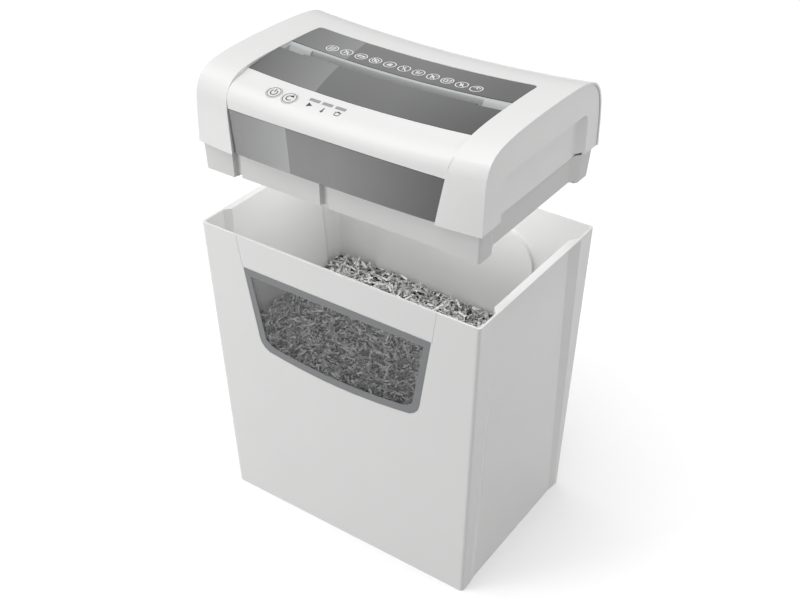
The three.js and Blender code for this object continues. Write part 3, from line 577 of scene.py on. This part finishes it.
@dataclass
class ShredHeap:
    """Thousands of short paper shreds, curled and strewn over the heap's crust, which is dressed dark as
    painted shade between them. Sizes are in millimetres.
    """

    rack: FinishRack
    count: int = 11000
    seed: int = 11
    steps: int = 5
    level: float = 231.0
    half_x: float = 172.0
    front: float = -117.6
    rear: float = 116.2
    side_play: float = 3.0
    sink: float = 16.0
    rise: float = 21.0
    crust_half: float = 177.4
    crust_front: float = -118.8
    crust_depth: float = 236.9

    def crust(self, x: np.ndarray, y: np.ndarray) -> np.ndarray:
        """Height of the crust in millimetres: three slow sine waves and a rise to the right."""
        u = (x + self.crust_half) / (2 * self.crust_half)
        v = (y - self.crust_front) / self.crust_depth
        waves = 5 * np.sin(2.1 * u + 0.6) + 4 * np.sin(5.3 * u * v + 1.3) + 3 * np.sin(7 * v - 2 * u)
        return self.level + waves + 6 * (u - 0.5)

    def build(self) -> None:
        """Lays the shreds.

        A shred is a strip carried along a straight line that bends with the square of the distance:
        point(t, s) = middle + t direction + curl t^2 normal + s (side cos turn + normal sin turn).
        """
        rng = np.random.default_rng(self.seed)
        n = self.count
        x = rng.uniform(-self.half_x, self.half_x, n)
        y = rng.uniform(self.front, self.rear, n)
        lift = rng.uniform(-3.0, 6.0, n)
        yaw = rng.uniform(0, 2 * math.pi, n)
        pitch = rng.normal(0.0, 0.42, n)
        length = rng.uniform(8.0, 17.0, n)
        width = rng.uniform(1.8, 3.2, n)
        curl = rng.normal(0.0, 0.022, n)
        roll = rng.normal(0.0, 0.7, n)
        twist = rng.normal(0.0, 0.05, n)
        along = np.stack([np.cos(yaw) * np.cos(pitch), np.sin(yaw) * np.cos(pitch), np.sin(pitch)], -1)
        across = np.stack([-np.sin(yaw), np.cos(yaw), np.zeros(n)], -1)
        up = np.cross(along, across)
        t = np.linspace(-0.5, 0.5, self.steps)[None, :] * length[:, None]
        turn = roll[:, None] + twist[:, None] * t
        side = across[:, None] * np.cos(turn)[..., None] + up[:, None] * np.sin(turn)[..., None]
        middle = np.stack([x, y, self.crust(x, y) + lift], -1)
        bend = curl[:, None] * t * t
        spine = middle[:, None] + along[:, None] * t[..., None] + up[:, None] * bend[..., None]
        s = np.array([-0.5, 0.5])[None, None, :, None] * width[:, None, None, None]
        points = spine[:, :, None] + side[:, :, None] * s
        low = np.array([-self.half_x - self.side_play, self.front, self.level - self.sink])
        high = np.array([self.half_x + self.side_play, self.rear, self.level + self.rise])
        points = np.clip(points, low, high) * MM
        one = grid_faces(self.steps, 2)
        faces = (one[None] + (np.arange(n) * self.steps * 2)[:, None, None]).reshape(-1, 4)
        piece = mesh_piece("loose_shreds", points, faces)
        # The tone spreads from white to near-black: random shred-to-shred tone and painted shade together.
        tone = np.repeat(np.clip(rng.normal(0.66, 0.30, n), 0.0, 1.0), self.steps * 2)
        layer = piece.data.attributes.new("tone", "FLOAT", "POINT")
        layer.data.foreach_set("value", tone.astype(np.float32))
        self.rack.dress(piece, Finish.PAPER)
        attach(piece, "bin")
        # The heap's crust under the loose shreds is dressed dark: painted shade in the gaps between shreds.
        self.rack.dress(bpy.data.objects["paper_shreds"], Finish.PAINTED_SHADE_BED)
        LOG.info("loose_shreds: %d shreds", n)


# ---------------------------------------------------------------- the head


@dataclass
class HeadHousing:
    """The lifted head's outer mouldings."""

    rack: FinishRack

    def build(self) -> None:
        """Rounds the edges of the housing's mouldings and dresses them."""
        shell, lamp, top = Finish.SHELL, Finish.LAMP, Finish.TOP
        for moulding in (
            Moulding("head_cover", "arched_cover", "head", shell, "shell_white", 1.3),
            Moulding("cheek_left", "left_cheek", "head", shell, "shell_white", 0.5, 14.0),
            Moulding("cheek_right", "right_cheek", "head", shell, "shell_white", 0.5, 14.0),
            Moulding("head_tray", "lower_tray", "head", Finish.TRAY, "tray_white", 0.8, 14.0),
            Moulding("front_fascia", "glossy_fascia", "head", Finish.FASCIA, "panel_dark", 0.35),
            Moulding("control_strip", "bullnose_strip", "head", shell, "shell_white", 0.4),
            Moulding("top_panel_front", "glossy_front_panel", "head", top, "panel_dark", 0.35),
            Moulding("top_panel_rear", "glossy_rear_panel", "head", top, "panel_dark", 0.35),
            Moulding("slot_guide", "feed_funnel", "head", Finish.GUIDE, "guide_grey", 0.4),
            Moulding("indicator_1", "jam_light", "head", lamp, "indicator", 0.25),
            Moulding("indicator_2", "heat_light", "head", lamp, "indicator", 0.25),
            Moulding("indicator_3", "full_light", "head", lamp, "indicator", 0.25),
        ):
            moulded_copy(moulding, self.rack)


@dataclass
class HeadSkin:
    """The head's curved outside, as heights over a plan, in millimetres: used to lay print on it."""

    fade_from: float = 46.0
    fade_span: float = 34.0
    rear_line: tuple[tuple[float, float], ...] = ((0.8, 90.9), (28.0, 91.0), (52.4, 90.2))
    strip_line: tuple[tuple[float, float], ...] = (
        (-112.8, 72.3),
        (-108.3, 76.7),
        (-102.0, 79.6),
        (-93.0, 81.5),
        (-84.0, 83.4),
        (-76.1, 85.0),
    )

    def lay(self, line: tuple[tuple[float, float], ...], plan: np.ndarray, lift: float) -> np.ndarray:
        """Points of a plan laid on the skin.

        The height is the side outline's, less the saddle's dip SADDLE_DIP (1 - (x / half width)^2),
        which fades in over fade_span from the height fade_from.

        Args:
            line: the side outline as (y, z) points.
            plan: an (..., 2) array of x and y in millimetres.
            lift: how far the points stand above the skin.

        Returns:
            An (..., 3) array in millimetres.
        """
        outline = np.array(line)
        z = np.interp(plan[..., 1], outline[:, 0], outline[:, 1])
        share = np.clip((z - self.fade_from) / self.fade_span, 0.0, 1.0)
        fade = share * share * (3 - 2 * share)
        dip = SADDLE_DIP * (1 - (plan[..., 0] / COVER_HALF) ** 2) * fade
        return np.stack([plan[..., 0], plan[..., 1], z - dip + HEAD_BASE + lift], -1)


class Stroke:
    """Flat shapes of a printed symbol, each a grid of plan points around the origin."""

    @staticmethod
    def ring(radius: float, width: float, start: float = 0.0, end: float = 360.0) -> np.ndarray:
        """An arc of the given width: two circles with 49 points each."""
        angle = np.radians(np.linspace(start, end, 49))
        rim = np.array([radius - width / 2, radius + width / 2])
        return np.stack([np.cos(angle)[:, None] * rim, np.sin(angle)[:, None] * rim], -1)

    @staticmethod
    def bar(x0: float, y0: float, x1: float, y1: float, width: float) -> np.ndarray:
        """A straight bar from one point to another: a grid two points wide."""
        start, end = np.array([x0, y0]), np.array([x1, y1])
        run = (end - start) / np.linalg.norm(end - start)
        side = np.array([-run[1], run[0]]) * width / 2
        spine = start + (end - start) * np.linspace(0, 1, 5)[:, None]
        return np.stack([spine + side, spine - side], 1)

    @staticmethod
    def wedge(x: float, y: float, size: float, heading: float) -> np.ndarray:
        """A filled arrow head that points along heading, in degrees: a bar that narrows to nothing."""
        angle = math.radians(heading)
        run = np.array([math.cos(angle), math.sin(angle)])
        side = np.array([-run[1], run[0]])
        steps = np.linspace(0, 1, 5)[:, None]
        spine = np.array([x, y]) + run * size * (steps - 0.5)
        half = side * (size * 0.55 * (1 - steps) + 0.01)
        return np.stack([spine + half, spine - half], 1)


def printed(name: str, strokes: list[np.ndarray], place: Any) -> bpy.types.Object:
    """Joins strokes into one thin print, each point put in place by a function of its plan.

    Args:
        name: the piece's name.
        strokes: (rows, columns, 2) grids of plan points.
        place: turns (..., 2) plan points into (..., 3) points in millimetres.

    Returns:
        The printed piece: a sheet that faces up.
    """
    points: list[np.ndarray] = []
    faces: list[np.ndarray] = []
    total = 0
    for stroke in strokes:
        rows, columns = stroke.shape[:2]
        points.append(place(stroke).reshape(-1, 3) * MM)
        faces.append(grid_faces(rows, columns) + total)
        total += rows * columns
    corners = np.concatenate(points)
    quads = np.concatenate(faces)
    first, second, third, fourth = np.moveaxis(corners[quads], 1, 0)
    down = np.cross(third - first, fourth - second)[:, 2] < 0
    quads[down] = quads[down][:, [0, 3, 2, 1]]
    return mesh_piece(name, corners, quads)


@dataclass
class Symbols:
    """Printed symbols: the row on the rear panel, and those on and by the controls.

    Sizes are in millimetres. The row runs from first_x to last_x and bends forward by row_bend at its ends.
    """

    rack: FinishRack
    skin: HeadSkin
    first_x: float = -98.3
    last_x: float = 91.9
    row_y: float = 18.4
    row_bend: float = 4.2
    ring_radius: float = 7.0
    ring_width: float = 1.1
    glyph_scale: float = 1.15
    light_scale: float = 1.35
    button_tilt: float = 0.245
    button_reach: float = 9.0

    def glyphs(self) -> list[list[np.ndarray]]:
        """What each ring of the row holds: plain pictures of things fed or kept out."""
        bar, ring, wedge = Stroke.bar, Stroke.ring, Stroke.wedge
        line = 1.0
        sheet = [bar(-2.4, -3, -2.4, 3, line), bar(2.4, -3, 2.4, 3, line), bar(-2.4, 3, 2.4, 3, line)]
        sheet += [bar(-2.4, -3, 2.4, -3, line), bar(-1.2, 1, 1.2, 1, line), bar(-1.2, -1, 1.2, -1, line)]
        clip = [ring(1.7, line, 0, 180), bar(-1.7, 0, -1.7, -3, line), bar(1.7, 0, 1.7, -2, line)]
        card = [bar(-3.4, -2, 3.4, -2, line), bar(-3.4, 2, 3.4, 2, line), bar(-3.4, 0.7, 3.4, 0.7, 1.1)]
        card += [bar(-3.4, -2, -3.4, 2, line), bar(3.4, -2, 3.4, 2, line)]
        disc = [ring(3.2, line), ring(1.0, line)]
        hand = [bar(-2, -3, -2, 1, line), bar(-0.7, -3, -0.7, 3, line)]
        hand += [bar(0.7, -3, 0.7, 3, line), bar(2, -3, 2, 2, line)]
        tie = [wedge(0, 2.4, 2.2, 270), bar(0, 1.6, -1.3, -2.2, line), bar(0, 1.6, 1.3, -2.2, line)]
        hair = [bar(-2.6, 3, -1.6, -3, line), bar(-0.6, 3, 0, -3, line), bar(2.4, 3, 1.6, -3, line)]
        spray = [bar(-1.4, -3.2, -1.4, 1.2, line), bar(1.0, -3.2, 1.0, 1.2, line)]
        spray += [bar(-1.4, -3.2, 1, -3.2, line), bar(-1.4, 1.2, 1.0, 1.2, line)]
        spray += [bar(-0.2, 1.2, -0.2, 2.8, line), bar(1.4, 2.4, 3.4, 3.2, line)]
        book = [bar(-3.4, -2, 0, -2.8, line), bar(3.4, -2, 0, -2.8, line), bar(0, -2.8, 0, 2.2, line)]
        book += [bar(-3.4, 3, 0, 2.2, line), bar(3.4, 3, 0, 2.2, line), bar(-3.4, -2, -3.4, 3, line)]
        book += [bar(3.4, -2, 3.4, 3, line)]
        baby = [ring(1.3, line), bar(0, -1.3, 0, -3.4, 1.2)]
        baby += [bar(-2, -2, 2, -2, line), bar(0, 1.4, 0, 3.2, line)]
        clock = [bar(0, 0, 0, 3, line), bar(0, 0, 2.2, 0, line), ring(3.6, line, 20, 160)]
        return [sheet, clip, card, disc, hand, tie, hair, spray, book, baby, clock]

    def panel_row(self) -> None:
        """The eleven ringed symbols, evenly spaced on the rear panel; every second one is struck through."""
        strokes: list[np.ndarray] = []
        glyphs = self.glyphs()
        for number, glyph in enumerate(glyphs):
            share = number / (len(glyphs) - 1)
            x = self.first_x + (self.last_x - self.first_x) * number / (len(glyphs) - 1)
            y = self.row_y - self.row_bend * ((share - 0.5) * 2) ** 2
            strike = [Stroke.bar(-4.9, 4.9, 4.9, -4.9, self.ring_width)] if number % 2 else []
            scaled = [shape * self.glyph_scale for shape in glyph]
            shapes = [Stroke.ring(self.ring_radius, self.ring_width), *scaled, *strike]
            strokes += [shape + np.array([x, y]) for shape in shapes]

        def on_panel(plan: np.ndarray) -> np.ndarray:
            """The rear panel's skin."""
            return self.skin.lay(self.skin.rear_line, plan, PRINT_LIFT)

        piece = printed("rear_panel_symbols", strokes, on_panel)
        self.rack.dress(piece, Finish.PALE_INK)
        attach(piece, "head")

    def light_symbols(self) -> None:
        """A paper-jam arrow, a heat mark and a full bin, each in front of its indicator."""
        bar, ring, wedge = Stroke.bar, Stroke.ring, Stroke.wedge
        jam = [wedge(0, 0, 4.6, 0)]
        heat = [bar(0, -0.4, 0, 2.6, 1.1), ring(0.8, 0.9) + np.array([0, -1.6])]
        full = [bar(-1.8, -2.2, 1.8, -2.2, 0.7), bar(-2.2, 1.4, -1.8, -2.2, 0.7)]
        full += [bar(2.2, 1.4, 1.8, -2.2, 0.7)]
        full += [bar(-2.8, 1.6, 2.8, 1.6, 0.8), bar(-0.9, 2.4, 0.9, 2.4, 0.7)]
        places = [(-43.5, -97.4, jam), (-25.7, -98.6, heat), (-7.6, -97.4, full)]
        strokes = [s * self.light_scale + np.array([x, y]) for x, y, shapes in places for s in shapes]

        def on_strip(plan: np.ndarray) -> np.ndarray:
            """The control strip's skin; its line is a polygon, so the print stands a little higher."""
            return self.skin.lay(self.skin.strip_line, plan, 0.25)

        piece = printed("light_symbols", strokes, on_strip)
        self.rack.dress(piece, Finish.DARK_INK)
        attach(piece, "head")

    def button_face(self, button: str, name: str, strokes: list[np.ndarray]) -> None:
        """Prints strokes on the sloping top of a button.

        Args:
            button: the CAD node, which is also the body that the print moves with.
            name: the name of the print.
            strokes: shapes around the middle of the button's face.
        """
        low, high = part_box(button)
        middle = (low + high) / 2
        rise, run = math.sin(self.button_tilt), math.cos(self.button_tilt)
        top = high.z / MM - self.button_reach * rise
        front = low.y / MM + self.button_reach * run

        def on_face(plan: np.ndarray) -> np.ndarray:
            """The face's plane: x across, y up the slope."""
            y = front + plan[..., 1] * run
            z = top + plan[..., 1] * rise + PRINT_LIFT
            return np.stack([middle.x / MM + plan[..., 0], y, z], -1)

        piece = printed(name, strokes, on_face)
        self.rack.dress(piece, Finish.DARK_INK)
        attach(piece, button)

    def build(self) -> None:
        """Lays all the prints."""
        bar, ring, wedge = Stroke.bar, Stroke.ring, Stroke.wedge
        self.panel_row()
        self.light_symbols()
        power = [ring(7.7, 0.7), ring(4.0, 1.25, 128, 412), bar(0, 0.6, 0, 5.6, 1.25)]
        self.button_face("power_button", "power_symbol", power)
        turn = [ring(7.7, 0.7), ring(3.7, 1.2, 60, 330), wedge(2.6, 3.4, 4.2, 330)]
        self.button_face("reverse_button", "reverse_symbol", turn)
        LOG.info("symbols printed")


@dataclass
class Controls:
    """The two push buttons."""

    rack: FinishRack

    def build(self) -> None:
        """Rounds and dresses the buttons."""
        for node in ("power_button", "reverse_button"):
            name = node.replace("button", "key")
            moulded_copy(Moulding(node, name, node, Finish.BUTTON, "button_white", 0.5, 31.0), self.rack)


@dataclass
class InnerWorks:
    """The cutting unit, the drive and the electrics: CAD nodes that keep their shape."""

    rack: FinishRack
    finishes: dict[str, Finish] = field(
        default_factory=lambda: {
            "control_board": Finish.BOARD,
            "power_board": Finish.BOARD,
            "run_capacitor": Finish.CAN,
            "frame_left": Finish.SHEET_STEEL,
            "frame_right": Finish.SHEET_STEEL,
            "motor_clamp": Finish.SHEET_STEEL,
            "motor_rotor": Finish.SHEET_STEEL,
            "idler_pin": Finish.SHEET_STEEL,
            "motor_body": Finish.MOTOR,
            "cutter_front": Finish.CUTTER,
            "cutter_rear": Finish.CUTTER,
            "sync_gear_front": Finish.CUTTER,
            "sync_gear_rear": Finish.CUTTER,
            "drive_gear": Finish.NYLON,
            "idler_gear": Finish.NYLON,
            "comb_front": Finish.COMB,
            "comb_rear": Finish.COMB,
        }
    )

    def build(self) -> None:
        """Dresses every inner node."""
        named = dict(self.finishes)
        named.update({f"tie_rod_{n}": Finish.SHEET_STEEL for n in range(1, 4)})
        named.update({f"bearing_{n}": Finish.BRONZE for n in range(1, 5)})
        named.update({f"tray_screw_{n}": Finish.ZINC for n in range(1, 5)})
        for node, finish in named.items():
            self.rack.dress(bpy.data.objects[node], finish)
        LOG.info("inner works: %d nodes dressed", len(named))


# ---------------------------------------------------------------- the studio


@dataclass(frozen=True)
class Lamp:
    """A soft rectangular lamp that hangs at a place, faces an aim, and has its power in watts.

    A glint lamp shows in gloss only, and the others light but don't show.
    """

    name: str
    place: Triple
    aim: Triple
    size: tuple[float, float]
    power: float
    glint: bool = False

    def hang(self) -> None:
        """Adds the lamp to the scene."""
        data = bpy.data.lights.new(self.name, "AREA")
        data.shape = "RECTANGLE"
        data.size, data.size_y = self.size
        data.energy = self.power
        lamp = bpy.data.objects.new(self.name, data)
        bpy.context.scene.collection.objects.link(lamp)
        turn = (Vector(self.aim) - Vector(self.place)).to_track_quat("-Z", "Y")
        lamp.matrix_world = Matrix.Translation(self.place) @ turn.to_matrix().to_4x4()
        lamp.visible_camera = False
        lamp.visible_glossy = self.glint
        lamp.visible_diffuse = not self.glint


@dataclass
class Studio:
    """Camera, floor, backdrop and lights. Lengths are in metres."""

    eye: Triple = (0.6990, -1.0021, 1.1229)
    gaze: Triple = (-0.47175, 0.68045, -0.56075)
    roll_deg: float = 0.054
    lens: float = 54.594
    low_air: float = 0.30
    high_air: float = 0.60
    floor_half: float = 7.0
    floor_drop: float = 0.0003
    floor_tone: Colour = (0.93, 0.93, 0.93)
    dome_radius: float = 8.0
    lamps: tuple[Lamp, ...] = (
        Lamp("side_lamp", (-1.30, -1.60, 0.75), (0.0, 0.0, 0.35), (0.9, 0.7), 16.5),
        Lamp("cheek_lamp", (0.80, 0.10, 1.05), (0.19, 0.0, 0.55), (0.3, 0.3), 1.1),
        Lamp("bin_lamp", (0.0, 0.0, 0.466), (0.0, 0.0, 0.2), (0.30, 0.17), 0.40),
        Lamp("glint_lamp", (-0.7, -1.0, 2.3), (0.0, 0.0, 0.55), (0.45, 0.45), 5.0, glint=True),
    )

    def camera(self) -> None:
        """Stands the camera in front, to the right and above."""
        data = bpy.data.cameras.new("studio_camera")
        data.lens = self.lens
        data.sensor_width = 36.0
        data.clip_start = 0.05
        data.clip_end = 50.0
        camera = bpy.data.objects.new("studio_camera", data)
        bpy.context.scene.collection.objects.link(camera)
        level = Vector(self.gaze).to_track_quat("-Z", "Y").to_matrix().to_4x4()
        roll = Matrix.Rotation(math.radians(self.roll_deg), 4, "Z")
        camera.matrix_world = Matrix.Translation(self.eye) @ level @ roll
        bpy.context.scene.camera = camera

    def floor(self) -> None:
        """Lays a wide pale floor just below the bin."""
        edge = np.linspace(-self.floor_half, self.floor_half, 9)
        x, y = np.meshgrid(edge, edge, indexing="ij")
        points = np.stack([x, y, np.full_like(x, -self.floor_drop)], -1)
        piece = mesh_piece("studio_floor", points, grid_faces(9, 9))
        graph = Graph("pale_floor")
        clouds = graph.noise(900.0, 2.0)
        shade = tuple(c * 0.985 for c in self.floor_tone)
        tone = graph.blend(clouds, self.floor_tone, shade)
        material = graph.surface(Base_Color=tone, Roughness=0.8, Emission_Color=tone, Emission_Strength=0.10)
        piece.data.materials.append(material)
        piece.visible_diffuse = False
        piece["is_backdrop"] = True

    def backdrop(self) -> None:
        """Closes the studio with a pale dome: x, y and z of a sphere by azimuth and height angle.

        Only the camera sees it, so it adds no light.
        """
        turn = np.linspace(0, 2 * math.pi, 49)[:, None]
        rise = np.linspace(-0.02, math.pi / 2 - 0.01, 13)[None, :]
        spread = np.cos(rise)
        unit = np.stack([np.cos(turn) * spread, np.sin(turn) * spread, np.sin(rise) + turn * 0], -1)
        piece = mesh_piece("studio_dome", unit * self.dome_radius, grid_faces(49, 13))
        graph = Graph("pale_backdrop")
        black = (0.0, 0.0, 0.0)
        glow = graph.blend(graph.noise(4000.0), (1.0, 1.0, 1.0), (0.99, 0.99, 0.99))
        piece.data.materials.append(
            graph.surface(Base_Color=black, Roughness=1.0, Emission_Color=glow, Emission_Strength=1.0)
        )
        for ray in ("diffuse", "glossy", "transmission", "shadow", "volume_scatter"):
            setattr(piece, f"visible_{ray}", False)
        piece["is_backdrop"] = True

    def sun(self, towards: Triple, strength: float) -> None:
        """Lights the machine evenly from a wide soft ceiling.

        Args:
            towards: the direction from the machine to the middle of the light.
            strength: its strength in watts per square metre.
        """
        data = bpy.data.lights.new("soft_ceiling", "SUN")
        data.energy = strength
        data.angle = math.radians(50.0)
        lamp = bpy.data.objects.new("soft_ceiling", data)
        bpy.context.scene.collection.objects.link(lamp)
        lamp.matrix_world = Vector(towards).to_track_quat("Z", "Y").to_matrix().to_4x4()

    def air(self) -> None:
        """Fills the studio with light that grows from low_air near the floor to high_air above."""
        world = bpy.data.worlds.new("studio_air")
        world.use_nodes = True
        tree = world.node_tree
        place = tree.nodes.new("ShaderNodeTexCoord")
        split = tree.nodes.new("ShaderNodeSeparateXYZ")
        rise = tree.nodes.new("ShaderNodeMapRange")
        for socket, value in zip(rise.inputs[1:5], (-0.15, 0.35, self.low_air, self.high_air)):
            socket.default_value = value
        tree.links.new(place.outputs["Generated"], split.inputs[0])
        tree.links.new(split.outputs["Z"], rise.inputs[0])
        tree.links.new(rise.outputs[0], tree.nodes["Background"].inputs["Strength"])
        tree.nodes["Background"].inputs["Color"].default_value = (1.0, 1.0, 1.0, 1.0)
        bpy.context.scene.world = world

    def build(self) -> None:
        """Sets up the whole studio."""
        self.camera()
        self.floor()
        self.backdrop()
        self.air()
        bpy.context.scene.view_settings.view_transform = "Standard"
        self.sun((-0.10, -0.14, 0.98), 1.30)
        for lamp in self.lamps:
            lamp.hang()


def main() -> tuple[list[float], list[float]]:
    """Builds the studio and every sub-assembly.

    Returns:
        The lowest and the highest corner of the CAD model.
    """
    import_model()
    low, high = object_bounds()
    Studio().build()
    rack = FinishRack()
    Bin(rack).build()
    ShredHeap(rack).build()
    HeadHousing(rack).build()
    Controls(rack).build()
    Symbols(rack, HeadSkin()).build()
    InnerWorks(rack).build()
    return list(low), list(high)


if __name__ == "__main__":
    logging.basicConfig(level=logging.INFO, format="%(name)s: %(message)s")
    cad_low, cad_high = main()
